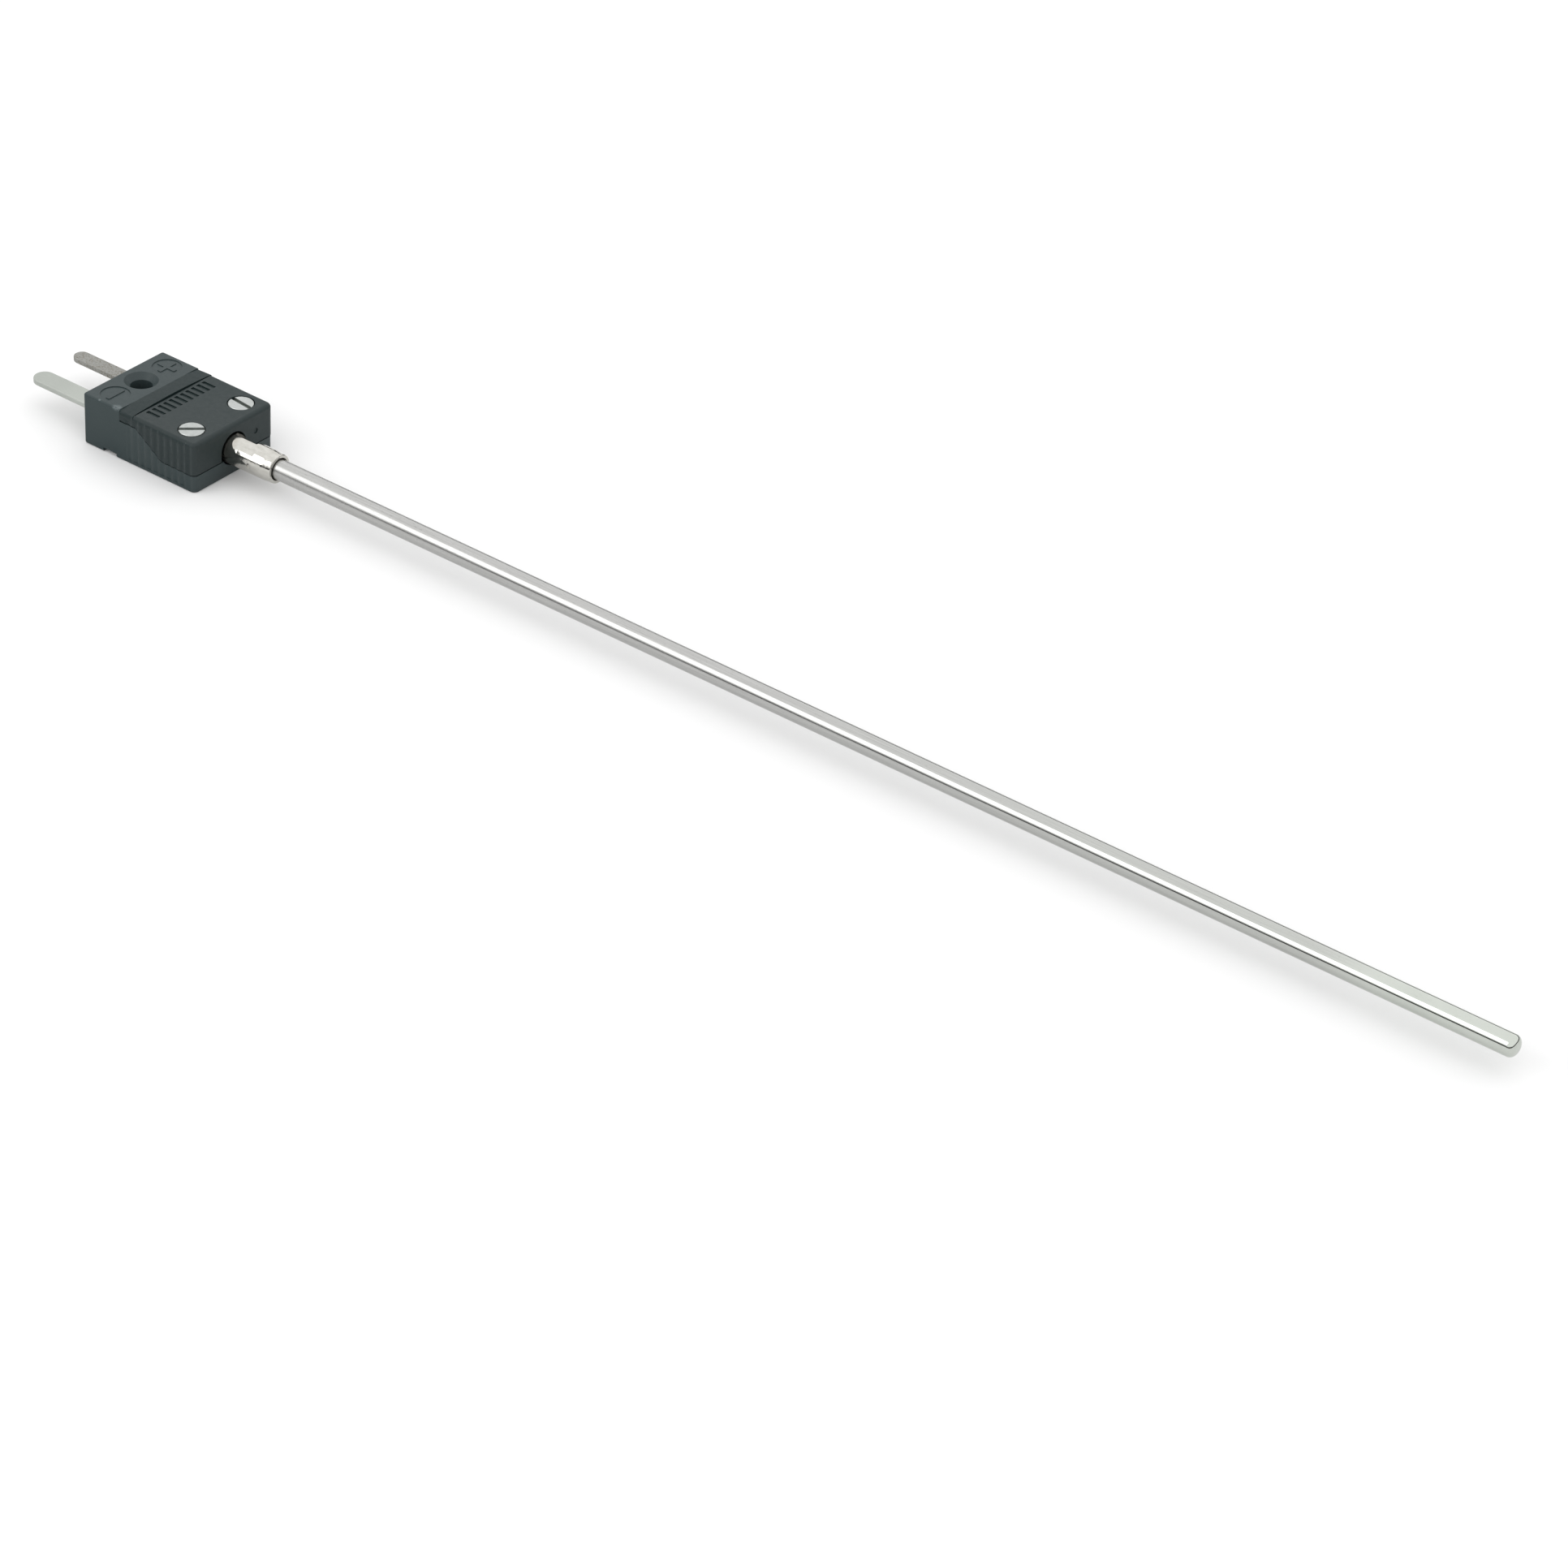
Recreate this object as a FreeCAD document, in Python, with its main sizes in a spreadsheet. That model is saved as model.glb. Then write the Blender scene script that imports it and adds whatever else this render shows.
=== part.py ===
"""Miniature flat-blade thermocouple plug on a rigid mineral-insulated probe.

Frame: millimetres, +X along the probe towards its tip, +Z up out of the plug's
cover, origin on the probe axis in the plane of the plug's mating face.
The negative blade is on the -Y side and the positive blade on the +Y side.
"""
import FreeCAD
import Part
import math
import os

import Sketcher

V = FreeCAD.Vector
OUT_DIR = "parts"

DIMENSIONS = [
    # plug shells
    ("plug_width", 16.0),
    ("plug_length", 21.0),
    ("axis_to_bottom", 3.95),
    ("axis_to_top", 4.0),
    ("cover_start", 6.9),
    ("cover_proud", 0.08),
    ("parting_high", 2.1),
    ("parting_low", -1.35),
    ("parting_knee", 9.92),
    ("parting_break", 14.66),
    ("parting_gap", 0.18),
    ("parting_gap_front", 0.3),
    ("parting_shift", 0.06),
    ("knee_radius", 1.6),
    ("break_radius", 0.35),
    ("ridge_crest_x", 9.35),
    ("ridge_crest_z", 4.13),
    ("ridge_foot_x", 9.4),
    ("ridge_step", 0.25),
    ("ridge_crown_radius", 110.0),
    ("ridge_groove_width", 0.14),
    ("ridge_groove_depth", 0.22),
    ("ridge_groove_half", 7.6),
    ("cover_rear_top", 3.8),
    ("front_corner_radius", 0.4),
    ("rear_corner_radius", 0.9),
    ("block_edge_radius", 0.3),
    ("bottom_edge_radius", 0.25),
    ("cover_edge_radius", 0.62),
    ("cover_ramp_radius", 0.8),
    ("foot_groove_start", 3.66),
    ("foot_groove_end", 6.2),
    ("foot_groove_depth", 0.6),
    # grip scallops on both sides
    ("grip_first", 8.62),
    ("grip_pitch", 1.25),
    ("grip_count", 9),
    ("grip_width", 1.16),
    ("grip_depth", 0.09),
    ("grip_low", -3.4),
    ("grip_high", 3.0),
    # how far cutters start outside the material they cut
    ("cutter_clear", 0.5),
    ("cutter_lift", 0.1),
    ("cutter_top", 5.0),
    # countersunk fixing hole and polarity marks in the front block
    ("fixing_x", 3.5),
    ("fixing_bore", 3.2),
    ("fixing_sink", 4.9),
    ("mark_offset", 5.2),
    ("mark_diameter", 4.3),
    ("mark_depth", 0.12),
    ("mark_bar", 3.2),
    ("mark_bar_width", 0.6),
    # plain recessed bars on the cover
    ("panel_start", 9.95),
    ("panel_end", 12.2),
    ("panel_first", -5.6),
    ("panel_pitch", 1.12),
    ("panel_bar", 0.6),
    ("panel_count", 11),
    ("panel_depth", 0.22),
    # contact blades
    ("blade_offset", 3.96),
    ("blade_thickness", 0.8),
    ("negative_width", 3.2),
    ("positive_width", 2.4),
    ("negative_reach", 13.1),
    ("positive_reach", 13.1),
    ("blade_edge_radius", 0.15),
    ("slot_clearance", 0.05),
    ("tab_width", 4.8),
    ("tab_start", 7.3),
    ("tab_end", 12.0),
    # terminal chambers
    ("chamber_start", 7.2),
    ("chamber_end", 13.0),
    ("chamber_inner", 1.3),
    ("chamber_outer", 6.6),
    ("chamber_floor", -0.42),
    ("wire_floor", -0.85),
    ("wire_bay_start", 12.1),
    ("wire_way_start", 10.3),
    ("wire_way_half", 1.48),
    ("bay_overlap", 0.2),
    ("cover_roof", 3.0),
    ("cover_cavity_start", 7.4),
    # terminal hardware
    ("terminal_x", 9.6),
    ("terminal_head", 3.8),
    ("terminal_head_height", 1.25),
    ("terminal_shank", 3.6),
    ("terminal_well", 3.2),
    ("shank_diameter", 2.4),
    ("thread_clearance", 0.05),
    ("shank_hole", 2.7),
    ("washer_diameter", 4.2),
    ("washer_thickness", 0.4),
    ("nut_side", 4.0),
    ("nut_thickness", 1.6),
    ("nut_clearance", 0.06),
    ("nut_floor_gap", 0.1),
    ("nut_seat_gap", 0.02),
    ("lead_clearance", 0.03),
    ("head_gap", 0.01),
    # cover screws and their inserts
    ("cover_screw_x", 17.75),
    ("cover_screw_y", 5.0),
    ("cover_head", 3.72),
    ("cover_head_height", 1.5),
    ("cover_head_seat", 3.94),
    ("cover_head_top", 3.84),
    ("cover_head_gap", 0.02),
    ("cover_screw_length", 5.5),
    ("cover_head_rim_radius", 0.2),
    ("right_screw_proud", 0.12),
    ("slot_width", 0.66),
    ("slot_depth", 0.34),
    ("insert_diameter", 3.6),
    ("insert_length", 2.0),
    ("insert_clearance", 0.02),
    ("insert_recess", 0.05),
    ("insert_floor_gap", 0.1),
    # ferrule
    ("ferrule_diameter", 4.5),
    ("ferrule_end", 29.5),
    ("ferrule_bore", 2.96),
    ("flange_diameter", 6.3),
    ("flange_start", 13.8),
    ("flange_end", 15.0),
    ("tunnel_diameter", 5.0),
    ("flange_seat_diameter", 6.6),
    ("flange_seat_gap", 0.1),
    ("saddle_diameter", 3.4),
    ("collar_diameter", 4.3),
    ("collar_taper_start", 27.8),
    ("collar_start", 28.8),
    ("crimp_end_run", 0.15),
    ("punch_x", 25.75),
    ("punch_diameter", 0.8),
    ("punch_depth", 0.07),
    ("rim_bore", 3.4),
    ("rim_depth", 0.5),
    ("rim_radius", 0.22),
    # probe
    ("sheath_diameter", 3.0),
    ("sheath_wall", 0.35),
    ("sheath_start", 12.9),
    ("neck_diameter", 2.92),
    ("neck_taper", 0.8),
    ("neck_end", 29.6),
    ("tip_end", 228.5),
    ("tip_cap_length", 1.3),
    ("tip_radius", 0.95),
    ("wire_diameter", 0.5),
    ("wire_spacing", 0.5),
    ("wire_hole", 0.54),
    ("packing_gap", 0.02),
    ("insulation_start", 13.4),
    ("insulation_end", 225.3),
    ("seal_start", 12.5),
    ("sleeve_diameter", 0.9),
    ("sleeve_end", 11.35),
    ("sleeve_end_y", 0.95),
    ("junction_diameter", 1.8),
    ("junction_neck", 1.3),
    ("junction_gap", 0.01),
    ("junction_bevel", 0.3),
    ("dimple_y", 4.4),
    ("dimple_z", 0.9),
    ("dimple_diameter", 0.9),
    ("dimple_depth", 0.12),
]

doc = FreeCAD.newDocument("thermocouple")
sheet = doc.addObject("Spreadsheet::Sheet", "dims")
for row, (alias, value) in enumerate(DIMENSIONS, start=1):
    sheet.set(f"A{row}", alias)
    sheet.set(f"B{row}", str(value))
    sheet.setAlias(f"B{row}", alias)
doc.recompute()

SUBPARTS = []


def cells(text):
    """Turn bare dimension names in an expression into spreadsheet references."""
    words = text.replace("(", " ( ").replace(")", " ) ").split()
    known = dict(DIMENSIONS)
    joined = " ".join("dims." + word if word in known else word for word in words)
    return joined.replace("cos (", "cos(").replace("sin (", "sin(")


def new_body(label):
    body = doc.addObject("PartDesign::Body", label)
    body.Label = label
    SUBPARTS.append(body)
    return body


def new_sketch(body, name, role, offset=None):
    """A sketch on one of the body's origin planes, raised along its normal by an expression."""
    sketch = body.newObject("Sketcher::SketchObject", f"{body.Label}_{name}")
    plane = [item for item in body.Origin.OriginFeatures if item.Role == role][0]
    sketch.AttachmentSupport = [(plane, "")]
    sketch.MapMode = "FlatFace"
    if offset:
        sketch.setExpression("AttachmentOffset.Base.z", cells(offset))
    return sketch


def fix(sketch, kind, args, expression):
    index = sketch.addConstraint(Sketcher.Constraint(kind, *args, 1.0))
    sketch.setExpression(f"Constraints[{index}]", cells(expression))


def polygon(sketch, points):
    """A closed polygon whose corners are given as pairs of expressions."""
    first = sketch.GeometryCount
    count = len(points)
    spread = [V(math.cos(2 * math.pi * i / count), math.sin(2 * math.pi * i / count), 0) * 5
              for i in range(count)]
    for i in range(count):
        sketch.addGeometry(Part.LineSegment(spread[i], spread[(i + 1) % count]), False)
    for i in range(count):
        sketch.addConstraint(
            Sketcher.Constraint("Coincident", first + i, 2, first + (i + 1) % count, 1))
    for i, (across, up) in enumerate(points):
        fix(sketch, "DistanceX", (-1, 1, first + i, 1), across)
        fix(sketch, "DistanceY", (-1, 1, first + i, 1), up)


def rectangle(sketch, low_x, high_x, low_y, high_y):
    polygon(sketch, [(low_x, low_y), (high_x, low_y), (high_x, high_y), (low_x, high_y)])


def circle(sketch, across, up, diameter):
    index = sketch.addGeometry(Part.Circle(V(1, 1, 0), V(0, 0, 1), 1.0), False)
    fix(sketch, "DistanceX", (-1, 1, index, 3), across)
    fix(sketch, "DistanceY", (-1, 1, index, 3), up)
    fix(sketch, "Diameter", (index,), diameter)


def pad(body, sketch, length, symmetric=False, downward=False):
    feature = body.newObject("PartDesign::Pad", f"{sketch.Name}_pad")
    feature.Profile = sketch
    feature.setExpression("Length", cells(length))
    feature.SideType = "Symmetric" if symmetric else "One side"
    feature.Reversed = downward
    doc.recompute()
    return feature


def pocket(body, sketch, length=None, symmetric=False, upward=False):
    """Cut a sketch against its normal, or through everything when no length is given."""
    before = body.Shape.Volume
    feature = body.newObject("PartDesign::Pocket", f"{sketch.Name}_pocket")
    feature.Profile = sketch
    if length:
        feature.setExpression("Length", cells(length))
    else:
        feature.Type = "ThroughAll"
    feature.SideType = "Symmetric" if symmetric else "One side"
    feature.Reversed = upward
    doc.recompute()
    if body.Shape.Volume >= before:
        raise RuntimeError(f"{feature.Name} cuts nothing")
    return feature


def turn(body, sketch, cut=False):
    """Revolve a sketch round its horizontal axis, adding or cutting."""
    kind = "Groove" if cut else "Revolution"
    feature = body.newObject(f"PartDesign::{kind}", f"{sketch.Name}_{kind}")
    feature.Profile = sketch
    feature.ReferenceAxis = (sketch, ["H_Axis"])
    feature.Angle = 360.0
    doc.recompute()
    return feature


def edge_names(body, accept):
    """Names of the edges whose two ends both satisfy the test."""
    names = []
    for number, edge in enumerate(body.Shape.Edges, start=1):
        points = [vertex.Point for vertex in edge.Vertexes]
        if points and accept(points, edge):
            names.append(f"Edge{number}")
    return names


def soften(body, name, radius, accept):
    """Fillet the edges that satisfy the test."""
    names = edge_names(body, accept)
    if not names:
        raise RuntimeError(f"{body.Label}: no edge for {name}")
    previous = body.Tip
    feature = body.newObject("PartDesign::Fillet", f"{body.Label}_{name}")
    feature.Base = (previous, names)
    feature.setExpression("Radius", cells(radius))
    body.Tip = feature
    doc.recompute()
    if "Invalid" in feature.State:
        raise RuntimeError(f"{feature.Name} failed")
    return feature


def size(alias):
    return dict(DIMENSIONS)[alias]


def near(value, target, reach=0.02):
    return abs(value - target) < reach


def vertical_at(x_value, y_value):
    """Test for upright edges at one x and either side."""
    def accept(points, edge):
        upright = len(points) == 2 and abs(points[0].z - points[1].z) > 0.5
        return upright and all(near(p.x, x_value) and near(abs(p.y), y_value) for p in points)
    return accept


# ---------------------------------------------------------------- base shell
def grip_scallops(body, side, low, length):
    """Nine shallow vertical scallops per side, cut by a patterned round cutter."""
    half = f"( {side} )"
    radius = "( ( grip_width * grip_width / 4 + grip_depth * grip_depth ) / ( 2 * grip_depth ) )"
    sketch = new_sketch(body, "grip", "XY_Plane", low)
    for sign in ("", "-1 * "):
        circle(sketch, "grip_first", f"{sign}( {half} + {radius} - grip_depth )", f"2 * {radius}")
    cut = pocket(body, sketch, length, upward=True)
    pattern = body.newObject("PartDesign::LinearPattern", f"{body.Label}_grip_row")
    pattern.Originals = [cut]
    pattern.Direction = (sketch, ["H_Axis"])
    pattern.setExpression("Length", cells("grip_pitch * ( grip_count - 1 )"))
    pattern.setExpression("Occurrences", cells("grip_count"))
    body.Tip = pattern
    doc.recompute()


def tunnel(body):
    """Round seat for sheath, ferrule flange and ferrule along the probe axis."""
    sketch = new_sketch(body, "tunnel", "XY_Plane")
    polygon(sketch, [
        ("wire_bay_start", "0"),
        ("plug_length + cutter_clear", "0"),
        ("plug_length + cutter_clear", "tunnel_diameter / 2"),
        ("flange_end + flange_seat_gap", "tunnel_diameter / 2"),
        ("flange_end + flange_seat_gap", "flange_seat_diameter / 2"),
        ("flange_start - flange_seat_gap", "flange_seat_diameter / 2"),
        ("flange_start - flange_seat_gap", "saddle_diameter / 2"),
        ("wire_bay_start", "saddle_diameter / 2"),
    ])
    turn(body, sketch, cut=True)


base = new_body("base_shell")
side = new_sketch(base, "side", "XZ_Plane")
polygon(side, [
    ("0", "-1 * axis_to_bottom"),
    ("foot_groove_start", "-1 * axis_to_bottom"),
    ("foot_groove_start", "foot_groove_depth - axis_to_bottom"),
    ("foot_groove_end", "foot_groove_depth - axis_to_bottom"),
    ("foot_groove_end", "-1 * axis_to_bottom"),
    ("plug_length", "-1 * axis_to_bottom"),
    ("plug_length", "parting_low"),
    ("parting_break", "parting_low"),
    ("parting_knee", "parting_high"),
    ("cover_start", "parting_high"),
    ("cover_start", "axis_to_top"),
    ("0", "axis_to_top"),
])
pad(base, side, "plug_width", symmetric=True)

half_width = size("plug_width") / 2
bottom = -size("axis_to_bottom")
top = size("axis_to_top")


def across_at(x_value, z_value):
    """Test for edges that run along Y at one x and z."""
    def accept(points, edge):
        spans = len(points) == 2 and abs(points[0].y - points[1].y) > 1
        return spans and all(near(p.x, x_value) and near(p.z, z_value) for p in points)
    return accept


soften(base, "knee", "knee_radius", across_at(size("parting_knee"), size("parting_high")))
soften(base, "break", "break_radius", across_at(size("parting_break"), size("parting_low")))
soften(base, "front_corners", "front_corner_radius", vertical_at(0, half_width))
soften(base, "rear_corners", "rear_corner_radius", vertical_at(size("plug_length"), half_width))


def block_top_edge(points, edge):
    """Front and side edges of the front block's top."""
    on_top = all(near(p.z, top) for p in points)
    return on_top and not all(near(p.x, size("cover_start")) for p in points)


def bottom_outline(points, edge):
    """Outer edges of the underside."""
    low = all(near(p.z, bottom) for p in points)
    groove = all(near(p.x, size("foot_groove_start")) or near(p.x, size("foot_groove_end"))
                 for p in points)
    return low and not (groove and abs(points[0].y - points[-1].y) > 1)


soften(base, "block_edges", "block_edge_radius", block_top_edge)
soften(base, "bottom_edges", "bottom_edge_radius", bottom_outline)
grip_scallops(base, "plug_width / 2", "grip_low", "parting_high - grip_low + cutter_clear")

chambers = new_sketch(base, "chambers", "XY_Plane", "parting_high + cutter_clear")
for inner, outer in (("chamber_inner", "chamber_outer"),
                     ("-1 * chamber_outer", "-1 * chamber_inner")):
    rectangle(chambers, "chamber_start", "wire_bay_start + bay_overlap", inner, outer)
pocket(base, chambers, "parting_high + cutter_clear - chamber_floor")

wire_bay = new_sketch(base, "wire_bay", "XY_Plane", "parting_high + cutter_clear")
rectangle(wire_bay, "wire_bay_start", "chamber_end", "-1 * chamber_outer", "chamber_outer")
pocket(base, wire_bay, "parting_high + cutter_clear - wire_floor")

wire_way = new_sketch(base, "wire_way", "XY_Plane", "parting_high + cutter_clear")
rectangle(wire_way, "wire_way_start", "wire_bay_start + bay_overlap",
          "-1 * wire_way_half", "wire_way_half")
pocket(base, wire_way, "parting_high + cutter_clear - wire_floor")

nut_seats = new_sketch(base, "nut_seats", "XY_Plane")
for sign in ("", "-1 * "):
    reach = "( nut_side / 2 + nut_clearance )"
    rectangle(nut_seats, f"terminal_x - {reach}", f"terminal_x + {reach}",
              f"{sign}blade_offset - {reach}", f"{sign}blade_offset + {reach}")
pocket(base, nut_seats, "blade_thickness / 2 + nut_thickness + nut_floor_gap")

shank_wells = new_sketch(base, "shank_wells", "XY_Plane")
for sign in ("", "-1 * "):
    circle(shank_wells, "terminal_x", f"{sign}blade_offset", "shank_hole")
pocket(base, shank_wells, "terminal_well")

insert_holes = new_sketch(base, "insert_holes", "XY_Plane", "parting_low + cutter_clear")
for sign in ("", "-1 * "):
    circle(insert_holes, "cover_screw_x", f"{sign}cover_screw_y",
           "insert_diameter + 2 * insert_clearance")
pocket(base, insert_holes, "cutter_clear + insert_length + insert_floor_gap")

blade_slots = new_sketch(base, "blade_slots", "YZ_Plane", "-1 * cutter_clear")
for sign, width in (("", "positive_width"), ("-1 * ", "negative_width")):
    rectangle(blade_slots,
              f"{sign}blade_offset - {width} / 2 - slot_clearance",
              f"{sign}blade_offset + {width} / 2 + slot_clearance",
              "-1 * blade_thickness / 2 - slot_clearance",
              "blade_thickness / 2 + slot_clearance")
pocket(base, blade_slots, "chamber_start + 2 * cutter_clear", upward=True)

tunnel(base)

marks = new_sketch(base, "marks", "XY_Plane", "axis_to_top")
long_half = "mark_bar / 2"
bar_half = "mark_bar_width / 2"
circle(marks, "fixing_x", "-1 * mark_offset", "mark_diameter")
rectangle(marks, f"fixing_x - {bar_half}", f"fixing_x + {bar_half}",
          f"-1 * mark_offset - {long_half}", f"-1 * mark_offset + {long_half}")
circle(marks, "fixing_x", "mark_offset", "mark_diameter")
polygon(marks, [
    (f"fixing_x + {long_half}", f"mark_offset - {bar_half}"),
    (f"fixing_x + {long_half}", f"mark_offset + {bar_half}"),
    (f"fixing_x + {bar_half}", f"mark_offset + {bar_half}"),
    (f"fixing_x + {bar_half}", f"mark_offset + {long_half}"),
    (f"fixing_x - {bar_half}", f"mark_offset + {long_half}"),
    (f"fixing_x - {bar_half}", f"mark_offset + {bar_half}"),
    (f"fixing_x - {long_half}", f"mark_offset + {bar_half}"),
    (f"fixing_x - {long_half}", f"mark_offset - {bar_half}"),
    (f"fixing_x - {bar_half}", f"mark_offset - {bar_half}"),
    (f"fixing_x - {bar_half}", f"mark_offset - {long_half}"),
    (f"fixing_x + {bar_half}", f"mark_offset - {long_half}"),
    (f"fixing_x + {bar_half}", f"mark_offset - {bar_half}"),
])
pocket(base, marks, "mark_depth")

fixing = new_sketch(base, "fixing", "XY_Plane", "axis_to_top")
circle(fixing, "fixing_x", "0", "fixing_bore")
doc.recompute()
hole = base.newObject("PartDesign::Hole", "base_shell_fixing_hole")
hole.Profile = fixing
doc.recompute()
hole.DepthType = "ThroughAll"
hole.HoleCutType = "Countersink"
hole.HoleCutCustomValues = True
hole.setExpression("Diameter", cells("fixing_bore"))
hole.setExpression("HoleCutDiameter", cells("fixing_sink"))
hole.HoleCutCountersinkAngle = 90.0
doc.recompute()

# --------------------------------------------------------------- cover shell
cover = new_body("cover_shell")
cover_side = new_sketch(cover, "side", "XZ_Plane")
polygon(cover_side, [
    ("cover_start", "parting_high + parting_gap_front"),
    ("parting_knee + parting_shift", "parting_high + parting_gap"),
    ("parting_break + parting_shift", "parting_low + parting_gap"),
    ("plug_length", "parting_low + parting_gap"),
    ("plug_length", "cover_rear_top"),
    ("ridge_foot_x", "ridge_crest_z - ridge_step"),
    ("ridge_crest_x", "ridge_crest_z"),
    ("cover_start", "axis_to_top"),
])
pad(cover, cover_side, "plug_width + 2 * cover_proud", symmetric=True)
cover_half = size("plug_width") / 2 + size("cover_proud")
soften(cover, "knee", "knee_radius",
       across_at(size("parting_knee") + size("parting_shift"),
                 size("parting_high") + size("parting_gap")))
soften(cover, "break", "break_radius",
       across_at(size("parting_break") + size("parting_shift"),
                 size("parting_low") + size("parting_gap")))
soften(cover, "rear_corners", "rear_corner_radius", vertical_at(size("plug_length"), cover_half))


def cover_rear_edge(points, edge):
    """Rear edge of the top, corner arcs included."""
    high = all(near(p.z, size("cover_rear_top"), 0.12) for p in points)
    return high and all(p.x > size("plug_length") - size("rear_corner_radius") - 0.05
                        for p in points)


def cover_side_edge(points, edge):
    """Long edges of the sloping top."""
    low = size("cover_rear_top") - 0.1
    on_side = all(abs(p.y) > cover_half - 1.5 and p.z > low for p in points)
    return on_side and abs(points[0].x - points[-1].x) > 3 and len(points) == 2


soften(cover, "rear_top", "cover_edge_radius",
       lambda points, edge: cover_rear_edge(points, edge) or cover_side_edge(points, edge))


def ramp_side_edge(points, edge):
    """Long edges of the ramp in front of the step."""
    on_side = all(near(abs(p.y), cover_half) and p.z > top - 0.05 for p in points)
    return on_side and len(points) == 2 and 1 < abs(points[0].x - points[1].x) < 3


soften(cover, "ramp", "cover_ramp_radius", ramp_side_edge)

crown = new_sketch(cover, "crown", "YZ_Plane", "cover_start - cutter_clear")
for extra in ("0", "2"):
    circle(crown, "0", "ridge_crest_z - ridge_crown_radius", f"2 * ridge_crown_radius + {extra}")
pocket(cover, crown, "ridge_foot_x - cover_start + cutter_clear", upward=True)
grip_scallops(cover, "plug_width / 2 + cover_proud", "parting_low - cutter_clear",
              "grip_high - parting_low + cutter_clear")

cavity = new_sketch(cover, "cavity", "XY_Plane", "cover_roof")
rectangle(cavity, "cover_cavity_start", "chamber_end", "-1 * chamber_outer", "chamber_outer")
pocket(cover, cavity)

tunnel(cover)

relief = new_sketch(cover, "relief", "XY_Plane")
polygon(relief, [
    ("wire_bay_start", "-1 * saddle_diameter / 2"),
    ("flange_start - flange_seat_gap", "-1 * saddle_diameter / 2"),
    ("flange_start - flange_seat_gap", "-1 * flange_seat_diameter / 2"),
    ("flange_end + flange_seat_gap", "-1 * flange_seat_diameter / 2"),
    ("flange_end + flange_seat_gap", "-1 * tunnel_diameter / 2"),
    ("plug_length + cutter_clear", "-1 * tunnel_diameter / 2"),
    ("plug_length + cutter_clear", "tunnel_diameter / 2"),
    ("flange_end + flange_seat_gap", "tunnel_diameter / 2"),
    ("flange_end + flange_seat_gap", "flange_seat_diameter / 2"),
    ("flange_start - flange_seat_gap", "flange_seat_diameter / 2"),
    ("flange_start - flange_seat_gap", "saddle_diameter / 2"),
    ("wire_bay_start", "saddle_diameter / 2"),
])
pocket(cover, relief)

screw_ways = new_sketch(cover, "screw_ways", "XY_Plane", "cutter_top")
screw_seats = new_sketch(cover, "screw_seats", "XY_Plane", "cutter_top")
for sign in ("", "-1 * "):
    circle(screw_ways, "cover_screw_x", f"{sign}cover_screw_y", "shank_hole")
    circle(screw_seats, "cover_screw_x", f"{sign}cover_screw_y", "cover_head_seat")
pocket(cover, screw_ways)
pocket(cover, screw_seats, "cutter_top - cover_head_top + cover_head_height + cover_head_gap")

bars = new_sketch(cover, "bars", "XY_Plane", "cutter_top")
rectangle(bars, "panel_start", "panel_end",
          "panel_first - panel_bar / 2", "panel_first + panel_bar / 2")
bar = pocket(cover, bars, "cutter_top - ridge_crest_z + ridge_step + panel_depth")
row = cover.newObject("PartDesign::LinearPattern", "cover_shell_bar_row")
row.Originals = [bar]
row.Direction = (bars, ["V_Axis"])
row.setExpression("Length", cells("panel_pitch * ( panel_count - 1 )"))
row.setExpression("Occurrences", cells("panel_count"))
cover.Tip = row
doc.recompute()

ridge_groove = new_sketch(cover, "ridge_groove", "XY_Plane", "cutter_top")
rectangle(ridge_groove, "ridge_crest_x", "ridge_foot_x + ridge_groove_width",
          "-1 * ridge_groove_half", "ridge_groove_half")
pocket(cover, ridge_groove,
       "cutter_top - ridge_crest_z + ridge_step + ridge_groove_depth")

dimple = new_sketch(cover, "dimple", "YZ_Plane", "plug_length + cutter_lift")
circle(dimple, "dimple_y", "dimple_z", "dimple_diameter")
pocket(cover, dimple, "dimple_depth + cutter_lift")


# -------------------------------------------------------------------- blades
def blade(label, sign, width, reach):
    """A flat contact blade with a full-round tip and a wide terminal tab inside."""
    body = new_body(label)
    centre = f"{sign}blade_offset"
    outline = new_sketch(body, "outline", "XY_Plane")
    polygon(outline, [
        (f"{width} / 2 - {reach}", f"{centre} - {width} / 2"),
        ("tab_start", f"{centre} - {width} / 2"),
        ("tab_start", f"{centre} - tab_width / 2"),
        ("tab_end", f"{centre} - tab_width / 2"),
        ("tab_end", f"{centre} + tab_width / 2"),
        ("tab_start", f"{centre} + tab_width / 2"),
        ("tab_start", f"{centre} + {width} / 2"),
        (f"{width} / 2 - {reach}", f"{centre} + {width} / 2"),
    ])
    pad(body, outline, "blade_thickness", symmetric=True)
    tip = new_sketch(body, "tip", "XY_Plane")
    circle(tip, f"{width} / 2 - {reach}", centre, width)
    pad(body, tip, "blade_thickness", symmetric=True)
    screw_hole = new_sketch(body, "screw_hole", "XY_Plane")
    circle(screw_hole, "terminal_x", centre, "shank_hole")
    pocket(body, screw_hole, symmetric=True)

    def contact_edges(points, edge):
        outside = all(p.x < 0.01 or near(p.x, size("tab_start")) for p in points)
        flat = abs(abs(points[0].z) - size("blade_thickness") / 2) < 0.01
        return outside and flat and points[0].z * points[-1].z > 0 and min(p.x for p in points) < 0

    soften(body, "edges", "blade_edge_radius", contact_edges)


blade("blade_positive", "", "positive_width", "positive_reach")
blade("blade_negative", "-1 * ", "negative_width", "negative_reach")


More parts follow.
